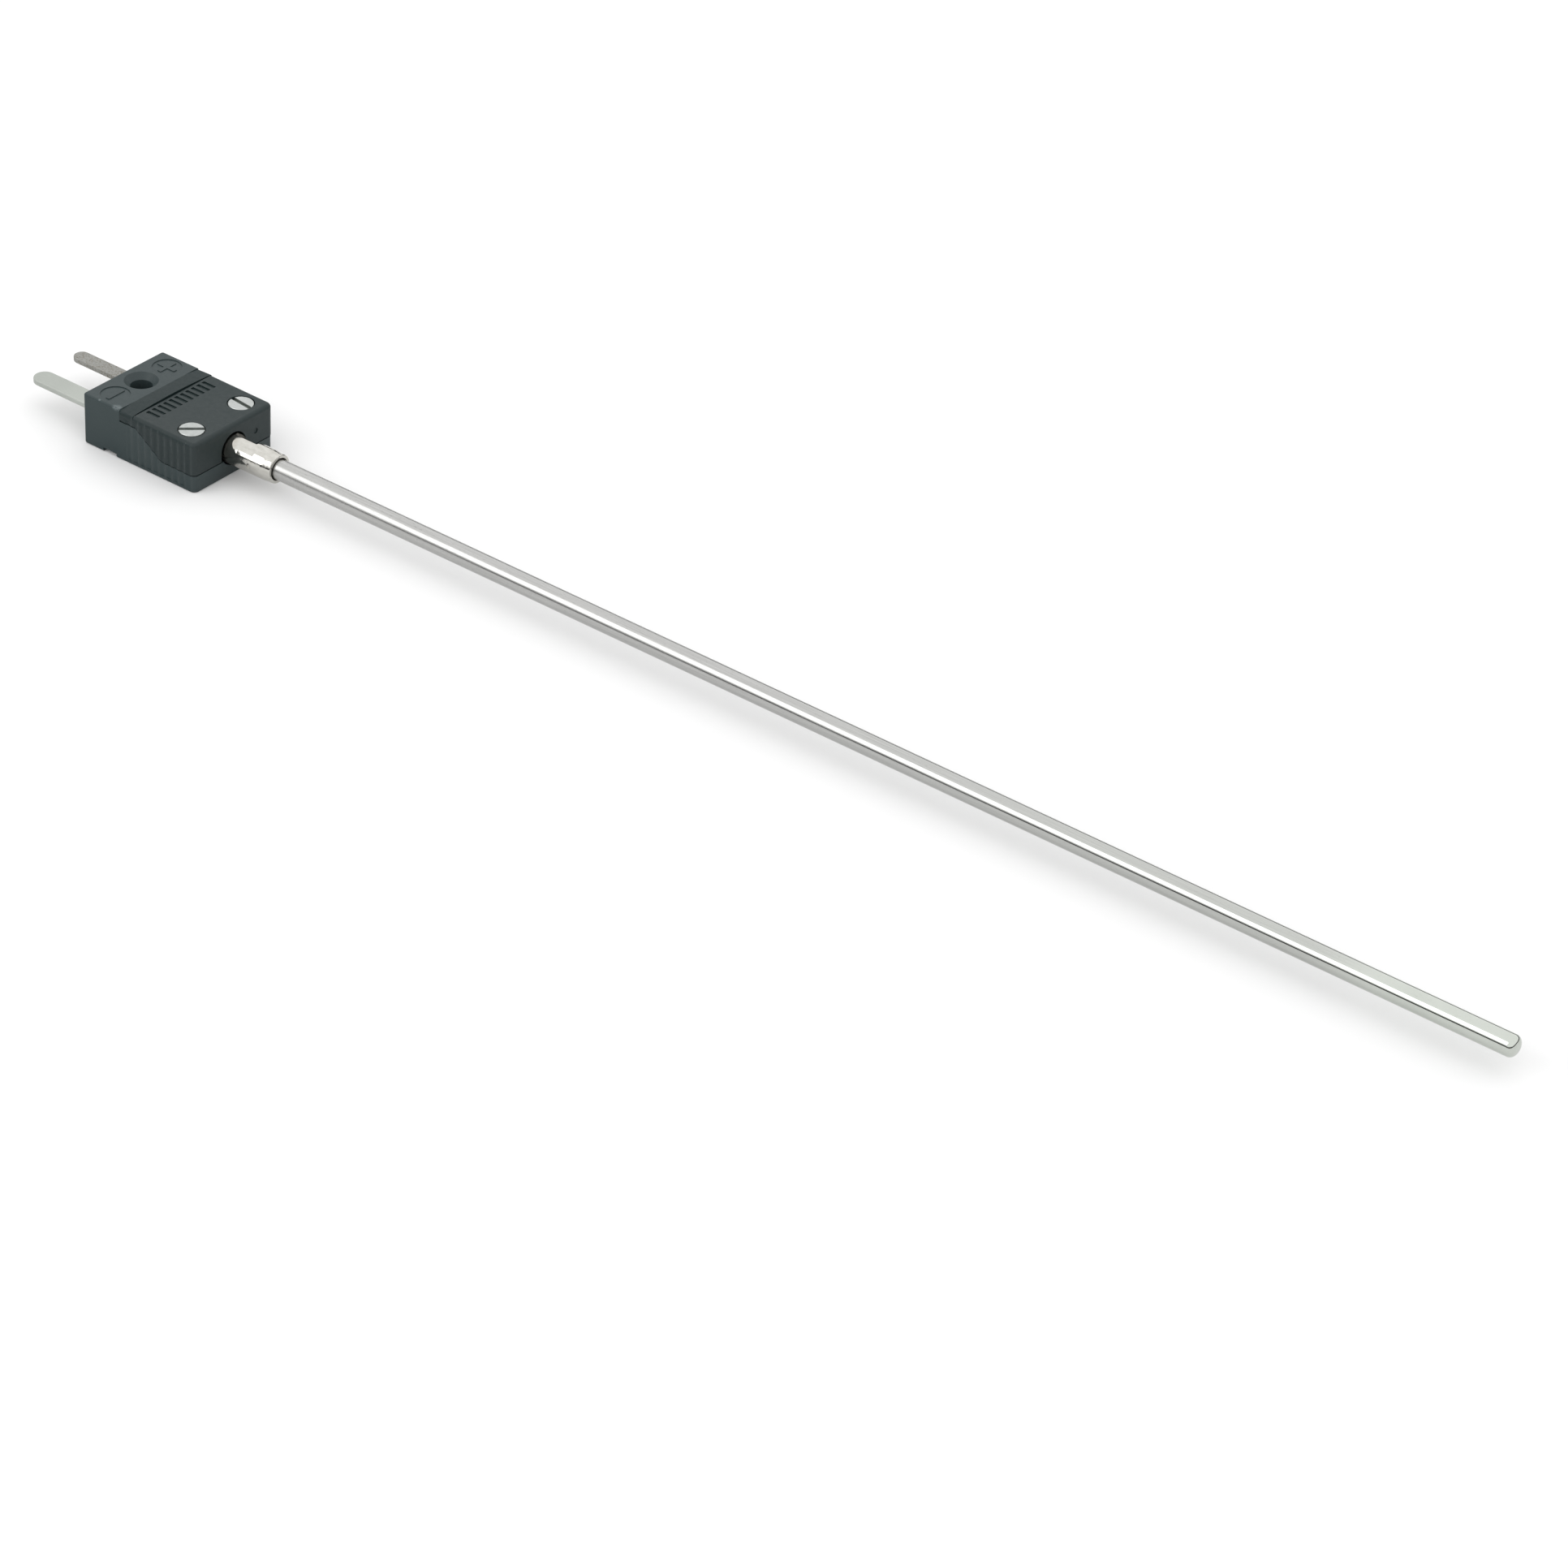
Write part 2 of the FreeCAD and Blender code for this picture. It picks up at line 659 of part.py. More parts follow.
# ---------------------------------------------------- screws, nuts, washers
def place(body, across, along, up, angle=0.0):
    """Move a finished piece from its own axis to its seat in the plug."""
    body.Placement = FreeCAD.Placement(V(0, 0, 0), FreeCAD.Rotation(V(0, 0, 1), angle))
    body.setExpression("Placement.Base.x", cells(across))
    body.setExpression("Placement.Base.y", cells(along))
    body.setExpression("Placement.Base.z", cells(up))
    doc.recompute()


def slotted_screw(label, head, head_height, length):
    """A slotted screw on its own axis, top of the head at z = 0."""
    body = new_body(label)
    head_sketch = new_sketch(body, "head", "XY_Plane")
    circle(head_sketch, "0", "0", head)
    pad(body, head_sketch, head_height, downward=True)
    soften(body, "rim", "cover_head_rim_radius",
           lambda points, edge: all(near(p.z, 0.0) for p in points))
    shank = new_sketch(body, "shank", "XY_Plane")
    circle(shank, "0", "0", "shank_diameter")
    pad(body, shank, f"{head_height} + {length}", downward=True)
    slot = new_sketch(body, "slot", "XY_Plane")
    rectangle(slot, f"-1 * {head}", head, "-1 * slot_width / 2", "slot_width / 2")
    pocket(body, slot, "slot_depth")
    return body


def ring(label, outer, inner, height):
    """A plain ring on its own axis, lower face at z = 0."""
    body = new_body(label)
    sketch = new_sketch(body, "ring", "XY_Plane")
    circle(sketch, "0", "0", outer)
    circle(sketch, "0", "0", inner)
    pad(body, sketch, height)
    return body


def square_nut(label):
    """A square nut on its own axis, upper face at z = 0."""
    body = new_body(label)
    sketch = new_sketch(body, "square", "XY_Plane")
    rectangle(sketch, "-1 * nut_side / 2", "nut_side / 2", "-1 * nut_side / 2", "nut_side / 2")
    circle(sketch, "0", "0", "shank_diameter + 2 * thread_clearance")
    pad(body, sketch, "nut_thickness", downward=True)
    return body


WASHER_LOW = "blade_thickness / 2 + wire_diameter + lead_clearance"
THREAD_BORE = "shank_diameter + 2 * thread_clearance"
for pole, sign, terminal_angle in (("positive", "", 20.0), ("negative", "-1 * ", 65.0)):
    seat = ("terminal_x", f"{sign}blade_offset")
    screw = slotted_screw(f"terminal_screw_{pole}", "terminal_head", "terminal_head_height",
                          "terminal_shank")
    place(screw, *seat, f"{WASHER_LOW} + washer_thickness + head_gap + terminal_head_height",
          terminal_angle)
    washer = ring(f"clamp_washer_{pole}", "washer_diameter", THREAD_BORE, "washer_thickness")
    place(washer, *seat, WASHER_LOW)
    nut = square_nut(f"terminal_nut_{pole}")
    place(nut, *seat, "-1 * blade_thickness / 2 - nut_seat_gap")

for hand, sign, slot_angle, proud in (("left", "", -6.0, "0"),
                                      ("right", "-1 * ", 43.0, "right_screw_proud")):
    seat = ("cover_screw_x", f"{sign}cover_screw_y")
    screw = slotted_screw(f"cover_screw_{hand}", "cover_head", "cover_head_height",
                          "cover_screw_length")
    place(screw, *seat, f"cover_head_top + {proud}", slot_angle)
    insert = ring(f"threaded_insert_{hand}", "insert_diameter", THREAD_BORE, "insert_length")
    place(insert, *seat, "parting_low - insert_recess - insert_length")

# ------------------------------------------------------------------- ferrule
ferrule = new_body("crimp_ferrule")
ferrule_half = new_sketch(ferrule, "half", "XY_Plane")
polygon(ferrule_half, [
    ("flange_start", "ferrule_bore / 2"),
    ("ferrule_end - rim_depth", "ferrule_bore / 2"),
    ("ferrule_end", "rim_bore / 2"),
    ("ferrule_end", "collar_diameter / 2"),
    ("collar_start", "collar_diameter / 2"),
    ("collar_taper_start", "ferrule_diameter / 2"),
    ("flange_end", "ferrule_diameter / 2"),
    ("flange_end", "flange_diameter / 2"),
    ("flange_start", "flange_diameter / 2"),
])
turn(ferrule, ferrule_half)


def rim_edge(points, edge):
    return all(near(p.x, size("ferrule_end")) and near(math.hypot(p.y, p.z),
               size("collar_diameter") / 2) for p in points)


soften(ferrule, "rim", "rim_radius", rim_edge)


# Flats left by the crimping jaws: name, angle of the flat's normal from vertical
# towards -Y in degrees, distance from the axis, start, end, run-in at the start
CRIMP_FLATS = [
    ("long_top", 27.0, 2.0, 22.6, 26.0, 0.7),
    ("long_far", -36.0, 1.84, 21.4, 25.2, 0.5),
    ("long_near", 52.0, 2.19, 23.3, 28.8, 0.4),
    ("short_top", 12.0, 2.022, 25.8, 28.8, 0.3),
    ("long_under", 207.0, 2.0, 22.6, 26.0, 0.7),
    ("short_under", 192.0, 2.022, 25.8, 28.8, 0.3),
    ("under_far", 232.0, 2.19, 23.3, 28.8, 0.4),
]


def press_flat(name, angle, distance, start, end, run_in):
    """Press one flat with sloping ends, its profile drawn in a plane turned round the axis."""
    sketch = new_sketch(ferrule, name, "XZ_Plane")
    sketch.AttachmentOffset = FreeCAD.Placement(
        V(0, 0, 0), FreeCAD.Rotation(V(1, 0, 0), angle))
    clear = "( ferrule_diameter / 2 + cutter_clear )"
    rise = size("ferrule_diameter") / 2 + size("cutter_clear") - distance
    depth = size("ferrule_diameter") / 2 - distance
    polygon(sketch, [
        (f"{start - run_in * rise / depth}", clear),
        (f"{start}", f"{distance}"),
        (f"{end}", f"{distance}"),
        (f"{end} + crimp_end_run * {rise / depth}", clear),
    ])
    pocket(ferrule, sketch, symmetric=True)


for flat in CRIMP_FLATS:
    press_flat(*flat)

punch = new_sketch(ferrule, "punch", "XZ_Plane", "ferrule_diameter / 2 + cutter_lift")
circle(punch, "punch_x", "0", "punch_diameter")
pocket(ferrule, punch, "punch_depth + cutter_lift")

# --------------------------------------------------------------------- probe
sheath = new_body("probe_sheath")
sheath_half = new_sketch(sheath, "half", "XY_Plane")
polygon(sheath_half, [
    ("sheath_start", "sheath_diameter / 2 - sheath_wall"),
    ("tip_end - tip_cap_length", "sheath_diameter / 2 - sheath_wall"),
    ("tip_end - tip_cap_length", "sheath_diameter / 2"),
    ("neck_end", "sheath_diameter / 2"),
    ("neck_end - neck_taper", "neck_diameter / 2"),
    ("sheath_start", "neck_diameter / 2"),
])
turn(sheath, sheath_half)

cap = new_body("tip_cap")
cap_disc = new_sketch(cap, "disc", "YZ_Plane", "tip_end - tip_cap_length")
circle(cap_disc, "0", "0", "sheath_diameter")
pad(cap, cap_disc, "tip_cap_length")
soften(cap, "dome", "tip_radius", lambda points, edge: all(near(p.x, size("tip_end")) for p in points))


def twin_bore_rod(label, start, length):
    """A round core filling the sheath, with a hole for each wire."""
    body = new_body(label)
    sketch = new_sketch(body, "rod", "YZ_Plane", start)
    circle(sketch, "0", "0", "sheath_diameter - 2 * sheath_wall - packing_gap")
    for sign in ("", "-1 * "):
        circle(sketch, f"{sign}wire_spacing", "0", "wire_hole")
    pad(body, sketch, length)
    return body


twin_bore_rod("mineral_insulation", "insulation_start", "insulation_end - insulation_start")
twin_bore_rod("end_seal", "seal_start", "insulation_start - seal_start")

junction = new_body("hot_junction")
junction_half = new_sketch(junction, "half", "XY_Plane")
polygon(junction_half, [
    ("insulation_end + junction_gap", "0"),
    ("tip_end - tip_cap_length", "0"),
    ("tip_end - tip_cap_length", "junction_neck / 2"),
    ("tip_end - tip_cap_length - junction_bevel", "junction_diameter / 2"),
    ("insulation_end + junction_bevel", "junction_diameter / 2"),
    ("insulation_end + junction_gap", "junction_neck / 2"),
])
turn(junction, junction_half)


HOOK_CLEARANCE = 0.06
LEAD_LIFT = 0.01
STRAIGHT_BEFORE_BEND = 0.15
LEAVING_PULL = 1.2
CREST_SLOPE = 0.75
SPREAD_PULL = 1.6
HOOK_PULL = 2.0
HOOK_ANGLE = 215.0


def lead_path(side, start_x, end_angle):
    """Centre line of a lead: straight in the probe, then up and round its terminal screw."""
    offset = size("wire_spacing") * side
    hook_radius = size("shank_diameter") / 2 + size("wire_diameter") / 2 + HOOK_CLEARANCE
    level = size("blade_thickness") / 2 + size("wire_diameter") / 2 + LEAD_LIFT
    centre = V(size("terminal_x"), size("blade_offset") * side, level)
    bend_x = size("seal_start") - STRAIGHT_BEFORE_BEND
    straight = Part.makeLine(V(start_x, offset, 0), V(bend_x, offset, 0))
    approach = centre + V(0, -side * hook_radius, 0)
    crest = V(size("sleeve_end"), size("sleeve_end_y") * side, level)
    slant = V(-1.0, CREST_SLOPE * side, 0)
    climb = Part.BSplineCurve()
    climb.interpolate(Points=[V(bend_x, offset, 0), crest],
                      InitialTangent=V(-LEAVING_PULL, 0, 0), FinalTangent=slant)
    spread = Part.BSplineCurve()
    spread.interpolate(Points=[crest, approach],
                       InitialTangent=slant * SPREAD_PULL,
                       FinalTangent=V(-HOOK_PULL, 0, 0))
    pieces = [straight, climb.toShape()]
    if end_angle:
        pieces.append(spread.toShape())

        def on_hook(angle):
            turned = math.radians(angle)
            return centre + V(-math.sin(turned), -side * math.cos(turned), 0) * hook_radius
        hook = Part.Arc(on_hook(0), on_hook(end_angle / 2), on_hook(end_angle))
        pieces.append(hook.toShape())
    return Part.Wire(pieces)


def swept(path, diameter):
    section = Part.Wire(Part.makeCircle(diameter / 2, path.Vertexes[0].Point, V(1, 0, 0)))
    return path.makePipeShell([section], True, True)


def shape_part(label, shape):
    item = doc.addObject("Part::Feature", label)
    item.Label = label
    item.Shape = shape
    item.Placement = FreeCAD.Placement()
    SUBPARTS.append(item)
    return item


# The leads bend in three directions at once, so they are swept along a spatial path:
# neither a body nor a plain Part object can follow one.
for pole, side_sign in (("positive", 1), ("negative", -1)):
    whole = lead_path(side_sign, size("insulation_end"), HOOK_ANGLE)
    shape_part(f"wire_{pole}", swept(whole, size("wire_diameter")))
    covered = lead_path(side_sign, size("seal_start") - size("packing_gap"), 0)
    tube = swept(covered, size("sleeve_diameter")).cut(swept(covered, size("wire_hole")))
    shape_part(f"wire_sleeve_{pole}", tube)

doc.recompute()

# --------------------------------------------------------------------- write
for item in doc.Objects:
    if any(flag in item.State for flag in ("Invalid", "Error")):
        raise RuntimeError(f"{item.Label} did not rebuild: {item.State}")
os.makedirs(OUT_DIR, exist_ok=True)
for item in SUBPARTS:
    shape = item.Shape
    if shape.isNull() or not shape.isValid() or len(shape.Solids) != 1:
        raise RuntimeError(f"{item.Label} is not one valid solid")
    shape.exportStep(os.path.join(OUT_DIR, f"{item.Label}.step"))
    print(f"{item.Label:28s} volume {shape.Volume:9.3f} mm3")
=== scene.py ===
import math

import bpy
from mathutils import Matrix, Vector


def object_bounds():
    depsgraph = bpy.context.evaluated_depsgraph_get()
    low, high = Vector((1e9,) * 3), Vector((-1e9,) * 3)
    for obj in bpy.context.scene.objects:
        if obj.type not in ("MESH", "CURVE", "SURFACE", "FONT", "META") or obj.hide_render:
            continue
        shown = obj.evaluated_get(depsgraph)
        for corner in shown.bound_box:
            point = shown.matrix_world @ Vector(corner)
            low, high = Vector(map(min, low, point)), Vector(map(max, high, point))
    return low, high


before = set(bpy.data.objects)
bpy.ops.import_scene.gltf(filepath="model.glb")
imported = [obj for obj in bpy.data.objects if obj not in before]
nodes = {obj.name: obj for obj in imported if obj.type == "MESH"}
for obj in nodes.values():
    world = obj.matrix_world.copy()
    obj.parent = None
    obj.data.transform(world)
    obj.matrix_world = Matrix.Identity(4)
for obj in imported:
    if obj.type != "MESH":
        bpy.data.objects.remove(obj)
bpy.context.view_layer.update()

# Places on the object, in metres from the middle of the plug's blade face:
# +X runs along the probe to its tip, -Y is the side of the wide blade, +Z is up.
X, Y, Z = 0, 1, 2
GRIP_PITCH = 0.00125
FIRST_CREST = 0.009245
GRIP_START = (0.0083, 0.0086)
RIDGE_FOOT = 0.0094
FAR_SIDE_LIGHT_REACH = 0.0075
# (centre, half sizes) of each worn place, and of the painted shade in the fixing hole
SCUFF = ((0.0062, -0.0077, 0.0040), (0.0010, 0.0008, 0.0006))
SMALL_SCUFF = ((0.0030, -0.0078, 0.0039), (0.0003, 0.0002, 0.0003))
FIXING_HOLE_SHADE = ((0.0035, 0.0, -0.0008), (0.0019, 0.0019, 0.0048))
# (where a tone starts, where it is full) along one axis
FERRULE_DARK_END = (0.0228, 0.0212)
SLOT_WALL_SHADE = (0.00372, 0.00356)
SLOT_FLOOR = (0.00338, 0.00344)
BLADE_ROOT_LIGHT = (-0.0085, -0.002)
TIP_ZONE = (0.198, 0.213)


# ------------------------------------------------------------- node helpers
class Graph:
    """A small wrapper that keeps material node code short."""

    def __init__(self, name):
        self.material = bpy.data.materials.new(name)
        self.material.use_nodes = True
        self.tree = self.material.node_tree
        self.tree.nodes.clear()
        output = self.tree.nodes.new("ShaderNodeOutputMaterial")
        self.shader = self.tree.nodes.new("ShaderNodeBsdfPrincipled")
        self.join(self.shader.outputs[0], output.inputs[0])
        self.place = self.tree.nodes.new("ShaderNodeTexCoord").outputs["Object"]

    def join(self, source, target):
        self.tree.links.new(source, target)

    def put(self, socket, value):
        """Link a socket, or set a constant."""
        if isinstance(value, bpy.types.NodeSocket):
            self.join(value, socket)
        else:
            socket.default_value = value

    def stretch(self, scale, shift=(0, 0, 0)):
        """Object coordinates, scaled along each axis and then shifted."""
        node = self.tree.nodes.new("ShaderNodeMapping")
        node.inputs["Scale"].default_value = scale
        node.inputs["Location"].default_value = shift
        self.join(self.place, node.inputs["Vector"])
        return node.outputs[0]

    def noise(self, scale, detail, rough, source=None, warp=0.0):
        """Cloudy noise around 0.5."""
        node = self.tree.nodes.new("ShaderNodeTexNoise")
        node.inputs["Scale"].default_value = scale
        node.inputs["Detail"].default_value = detail
        node.inputs["Roughness"].default_value = rough
        node.inputs["Distortion"].default_value = warp
        self.join(source or self.place, node.inputs["Vector"])
        return node.outputs["Fac"]

    def cells(self, scale):
        """Distance to the nearest of a set of scattered points."""
        node = self.tree.nodes.new("ShaderNodeTexVoronoi")
        node.inputs["Scale"].default_value = scale
        self.join(self.place, node.inputs["Vector"])
        return node.outputs["Distance"]

    def remap(self, value, low, high, out_low=0.0, out_high=1.0, smooth=False):
        """Map low..high on to out_low..out_high, held level beyond both ends."""
        node = self.tree.nodes.new("ShaderNodeMapRange")
        node.interpolation_type = "SMOOTHSTEP" if smooth else "LINEAR"
        self.put(node.inputs["Value"], value)
        for key, number in (("From Min", low), ("From Max", high),
                            ("To Min", out_low), ("To Max", out_high)):
            node.inputs[key].default_value = number
        return node.outputs["Result"]

    def math(self, kind, first, second=0.0, clamp=False):
        node = self.tree.nodes.new("ShaderNodeMath")
        node.operation = kind
        node.use_clamp = clamp
        self.put(node.inputs[0], first)
        self.put(node.inputs[1], second)
        return node.outputs[0]

    def mix(self, factor, first, second):
        """Blend two colours: the first at factor 0, the second at factor 1."""
        node = self.tree.nodes.new("ShaderNodeMix")
        node.data_type = "RGBA"
        self.put(node.inputs["Factor"], factor)
        sockets = [s for s in node.inputs if s.type == "RGBA"]
        self.put(sockets[0], first)
        self.put(sockets[1], second)
        return [s for s in node.outputs if s.type == "RGBA"][0]

    def bump(self, height, strength, distance, normal=None):
        """A surface normal tilted by a height, over another normal if one is given."""
        node = self.tree.nodes.new("ShaderNodeBump")
        node.inputs["Strength"].default_value = strength
        node.inputs["Distance"].default_value = distance
        self.join(height, node.inputs["Height"])
        if normal:
            self.join(normal, node.inputs["Normal"])
        return node.outputs[0]

    def facing(self, direction):
        """How far a face looks along a direction: 0 when level with it or turned away."""
        dot = self.tree.nodes.new("ShaderNodeVectorMath")
        dot.operation = "DOT_PRODUCT"
        self.join(self.tree.nodes.new("ShaderNodeTexCoord").outputs["Normal"], dot.inputs[0])
        dot.inputs[1].default_value = direction
        return self.math("ADD", dot.outputs["Value"], 0.0, clamp=True)

    def axis(self, index):
        """Object coordinate along X, Y or Z."""
        node = self.tree.nodes.new("ShaderNodeSeparateXYZ")
        self.join(self.place, node.inputs[0])
        return node.outputs[index]


def rgb(red, green, blue):
    return (red, green, blue, 1.0)


DUST = rgb(0.14, 0.15, 0.15)
RUBBED_EDGE = rgb(0.09, 0.11, 0.115)
# painted highlight for the grip rib crests
CREST_HIGHLIGHT = rgb(0.045, 0.056, 0.057)
SCUFFED = rgb(0.16, 0.19, 0.195)
# painted shade for the fixing hole
HOLE_SHADE_BLACK = rgb(0.002, 0.003, 0.003)


def edge_mask(g, radius):
    """1 on sharp edges, 0 on faces, from a rounded normal compared with the true one."""
    bevel = g.tree.nodes.new("ShaderNodeBevel")
    bevel.samples = 6
    bevel.inputs["Radius"].default_value = radius
    shape = g.tree.nodes.new("ShaderNodeNewGeometry")
    dot = g.tree.nodes.new("ShaderNodeVectorMath")
    dot.operation = "DOT_PRODUCT"
    g.join(bevel.outputs[0], dot.inputs[0])
    g.join(shape.outputs["Normal"], dot.inputs[1])
    return g.remap(dot.outputs["Value"], 0.995, 0.86)


def patch(g, place, soft=0.35):
    """1 near a point and 0 beyond an ellipsoid, from its centre and its half sizes."""
    centre, reach = place
    offset = g.stretch(tuple(1.0 / r for r in reach),
                       tuple(-c / r for c, r in zip(centre, reach)))
    length = g.tree.nodes.new("ShaderNodeVectorMath")
    length.operation = "LENGTH"
    g.join(offset, length.inputs[0])
    return g.remap(length.outputs["Value"], 1.0, soft, smooth=True)


def product(g, *factors):
    """Multiply any number of values."""
    result = factors[0]
    for factor in factors[1:]:
        result = g.math("MULTIPLY", result, factor)
    return result


def charcoal_plastic(name, level, red_level, gloss, lift, ramp_end=-1.0):
    """Moulded charcoal plastic: cloudy tone, fine grain, rubbed edges and two pale scuffs.

    level and red_level scale the tone, lift is how much paler the painted top light makes the
    flat top, and everything in front of ramp_end gets no painted top light and stays as dark
    as the sides.
    """
    g = Graph(name)
    cloud = g.noise(160, 4, 0.55)
    mottle = g.noise(1500, 3, 0.6)
    grain = g.noise(16000, 2, 0.5)

    def shade(red, green, blue, extra=0.0):
        return rgb(red * red_level + extra, green * level + extra, blue * level + extra)

    tone = g.mix(g.remap(cloud, 0.3, 0.7), shade(0.0100, 0.0190, 0.0205),
                 shade(0.0135, 0.0230, 0.0240))
    tone = g.mix(g.remap(mottle, 0.35, 0.7, 0.0, 0.35), tone, shade(0.020, 0.028, 0.029))

    # painted light: the flat top and the rear face are painted paler than the ramp and the
    # ribbed sides, standing in for the extra light and sheen they catch
    ramp = g.remap(g.axis(X), ramp_end + 0.0001, ramp_end - 0.0001)
    ribbed = g.math("MAXIMUM", g.facing((-4.0, -1.0, 0.0)), g.facing((-4.0, 1.0, 0.0)))
    pale = g.remap(g.math("MAXIMUM", ribbed, ramp), 0.0, 1.0, 0.3, 0.0)
    tone = g.mix(pale, tone, shade(0.0117, 0.0210, 0.0222, lift))
    # painted light: the plastic is painted paler towards the far (+Y) side, standing in for
    # more light falling from behind
    far_side_light = g.remap(g.axis(Y), -FAR_SIDE_LIGHT_REACH, FAR_SIDE_LIGHT_REACH, 0.0, 0.4)
    tone = g.mix(far_side_light, tone, shade(0.026, 0.033, 0.034))

    # a few pale specks of dust
    specks = g.remap(g.cells(420), 0.02, 0.05, 1.0, 0.0)
    chosen = g.remap(g.noise(310, 1, 0.5), 0.56, 0.60)
    tone = g.mix(product(g, specks, chosen, 0.35), tone, DUST)

    # sharp edges are rubbed paler here and there
    rub = product(g, edge_mask(g, 0.00013), g.remap(g.noise(1300, 3, 0.6), 0.46, 0.68))
    tone = g.mix(product(g, rub, 0.3), tone, RUBBED_EDGE)

    # painted highlight: the crests of the grip scallops on the sides are painted a little
    # lighter, standing in for light caught by the shallow ribs
    turn = product(g, g.math("SUBTRACT", g.axis(X), FIRST_CREST), math.tau / GRIP_PITCH)
    crest_highlight = g.remap(g.math("COSINE", turn), 0.5, 1.0, smooth=True)
    sides = g.math("ADD", g.facing((0.0, -1.0, 0.0)), g.facing((0.0, 1.0, 0.0)))
    crest_highlight = product(g, crest_highlight, g.remap(sides, 0.85, 0.95), g.remap(g.axis(X), *GRIP_START),
                    g.remap(g.noise(700, 2, 0.5), 0.35, 0.6, 0.1, 0.4))
    tone = g.mix(crest_highlight, tone, CREST_HIGHLIGHT)

    # one ragged scuff and one small nick on the near edge of the block
    scuff = product(g, patch(g, SCUFF), g.remap(g.noise(2600, 3, 0.65), 0.32, 0.52))
    worn = g.math("MAXIMUM", scuff, patch(g, SMALL_SCUFF))
    tone = g.mix(product(g, worn, 0.6), tone, SCUFFED)

    # painted shade: deep in the fixing hole the moulding is painted almost black
    hole_shade = patch(g, FIXING_HOLE_SHADE, 0.92)
    tone = g.mix(product(g, hole_shade, 0.85), tone, HOLE_SHADE_BLACK)
    g.put(g.shader.inputs["Base Color"], tone)
    g.shader.inputs["Specular IOR Level"].default_value = gloss
    g.put(g.shader.inputs["Roughness"], g.remap(mottle, 0.3, 0.7, 0.46, 0.56))
    fine = g.bump(grain, 0.35, 0.000006)
    g.put(g.shader.inputs["Normal"], g.bump(mottle, 0.25, 0.00001, fine))
    return g.material


def metal(name, light, dark, rough, streak, bump=0.1, stain=None, metallic=1.0, drift=None,
          drift_stop=None, dents=0.0):
    """A bare or plated metal: streaked tone and cloudy roughness.

    stain is (colour, noise scale, low, high) for specks, drift is (colour, axis,
    (start, end), share) for a tone that takes over along an axis, drift_stop is where
    on that axis it ends again, and dents is the strength of a wavy surface.
    """
    g = Graph(name)
    lines = g.noise(1.0, 4, 0.6, g.stretch(streak))
    cloud = g.noise(260, 3, 0.5)
    tone = g.mix(g.remap(lines, 0.3, 0.7), dark, light)
    g.shader.inputs["Metallic"].default_value = metallic
    blend = g.math("ADD", product(g, cloud, 0.6), product(g, lines, 0.4))
    worn = g.remap(blend, 0.35, 0.65, *rough)
    if stain:
        colour, scale, low, high = stain
        spots = g.remap(g.noise(scale, 5, 0.65), low, high)
        tone = g.mix(spots, tone, colour)
        g.put(g.shader.inputs["Metallic"], g.remap(spots, 0.0, 1.0, metallic, 0.2))
        worn = g.math("ADD", worn, product(g, spots, 0.2))
    if drift:
        colour, index, span, most = drift
        share = product(g, g.remap(g.axis(index), *span, 0.0, most),
                        g.remap(cloud, 0.3, 0.6, 0.7, 1.0))
        if drift_stop:
            share = product(g, share, g.remap(g.axis(index), *drift_stop))
        tone = g.mix(share, tone, colour)
        worn = g.math("ADD", worn, product(g, share, 0.15))
    g.put(g.shader.inputs["Base Color"], tone)
    g.put(g.shader.inputs["Roughness"], worn)
    surface = g.bump(lines, bump, 0.00001)
    if dents:
        surface = g.bump(g.noise(1100, 2, 0.5, warp=0.6), dents, 0.00008, surface)
    g.put(g.shader.inputs["Normal"], surface)
    return g.material


def drawn_stainless():
    """Sheath steel: brushed and neutral by the plug, smoother and faintly green at the tip."""
    g = Graph("drawn_stainless")
    along = g.axis(X)
    towards_tip = g.remap(along, 0.10, 0.22, smooth=True)
    lines = g.noise(1.0, 4, 0.65, g.stretch((120, 7000, 7000)))
    flecks = g.noise(1.0, 3, 0.6, g.stretch((1800, 6000, 6000)))
    cloud = g.noise(90, 3, 0.5)
    near = g.mix(g.remap(lines, 0.3, 0.7), rgb(0.39, 0.39, 0.38), rgb(0.47, 0.47, 0.46))
    far = g.mix(g.remap(lines, 0.3, 0.7), rgb(0.43, 0.44, 0.42), rgb(0.48, 0.49, 0.465))
    tone = g.mix(towards_tip, near, far)
    tip = g.mix(g.remap(cloud, 0.3, 0.7), rgb(0.50, 0.525, 0.485), rgb(0.55, 0.575, 0.535))
    tone = g.mix(g.remap(along, *TIP_ZONE, smooth=True), tone, tip)
    pits = product(g, g.remap(flecks, 0.58, 0.74, 0.0, 0.55),
                   g.remap(along, 0.03, 0.15, 1.0, 0.35))
    tone = g.mix(pits, tone, rgb(0.24, 0.24, 0.23))
    g.put(g.shader.inputs["Base Color"], tone)
    g.shader.inputs["Metallic"].default_value = 1.0
    matte = g.remap(along, 0.03, 0.20, 0.27, 0.11)
    g.put(g.shader.inputs["Roughness"],
          g.math("ADD", matte, g.remap(cloud, 0.3, 0.7, -0.03, 0.04)))
    g.put(g.shader.inputs["Normal"], g.bump(lines, 0.08, 0.000006))
    return g.material


def sleeve_plastic(name, tone_low, tone_high, rough):
    """Plain matte filler: sleeves, packed powder and potting."""
    g = Graph(name)
    cloud = g.remap(g.noise(1200, 4, 0.6), 0.3, 0.7)
    g.put(g.shader.inputs["Base Color"], g.mix(cloud, tone_low, tone_high))
    g.shader.inputs["Roughness"].default_value = rough
    g.put(g.shader.inputs["Normal"], g.bump(g.noise(6000, 2, 0.6), 0.3, 0.00001))
    return g.material


